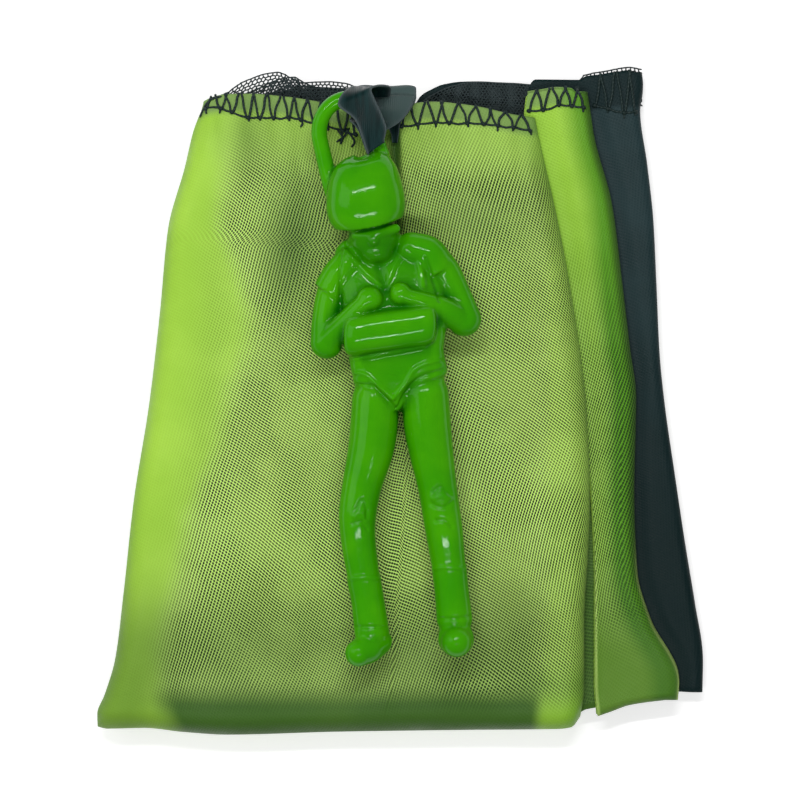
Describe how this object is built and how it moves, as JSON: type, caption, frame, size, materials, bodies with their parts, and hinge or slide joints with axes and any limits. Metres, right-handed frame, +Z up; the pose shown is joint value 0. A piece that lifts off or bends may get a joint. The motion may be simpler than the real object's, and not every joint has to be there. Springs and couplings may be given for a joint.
{
  "type": "toy parachute",
  "caption": "Hand-thrown toy parachute folded flat: two-tone cloth canopy with a net skirt, a ribbon at its neck and a moulded parachutist hung on it by an eye.",
  "frame": {"origin": "middle of the folded bundle's footprint, on the table that it lies on", "axes": "+Y from the bottom fold towards the sewn hem, +X to the right as the picture shows it, +Z up from the table"},
  "size_m": [0.1061, 0.1173, 0.0239],
  "materials": {
    "canopy_green": "woven polyester, slight sheen",
    "canopy_black": "woven polyester, satin",
    "net_black": "open net",
    "ribbon_satin": "satin ribbon",
    "figure_plastic": "glossy moulded plastic"
  },
  "bodies": {
    "back_leaves": {"canopy_back_leaf": "canopy_green", "canopy_black_inner": "canopy_black", "canopy_black_leaf": "canopy_black", "net_skirt_corner": "net_black"},
    "front_leaves": {"canopy_front_leaf": "canopy_green", "canopy_green_pleat": "canopy_green", "net_skirt": "net_black", "ribbon_neck": "ribbon_satin"},
    "ribbon": {"ribbon_loop": "ribbon_satin"},
    "parachutist": {"figure": "figure_plastic"}
  },
  "joints": [
    {"name": "front_leaf_open", "type": "hinge", "parent": "back_leaves", "child": "front_leaves", "pos_m": [0, -0.0586, 0.00395], "axis": [1, 0, 0], "range_deg": [0, 120]},
    {"name": "ribbon_lift", "type": "hinge", "parent": "front_leaves", "child": "ribbon", "pos_m": [-0.00446, 0.05321, 0.00815], "axis": [-1, 0, 0], "range_deg": [0, 100]},
    {"name": "figure_turn", "type": "hinge", "parent": "ribbon", "child": "parachutist", "pos_m": [-0.00828, 0.04665, 0.01621], "axis": [0, 0, 1], "range_deg": [-10, 30]}
  ]
}
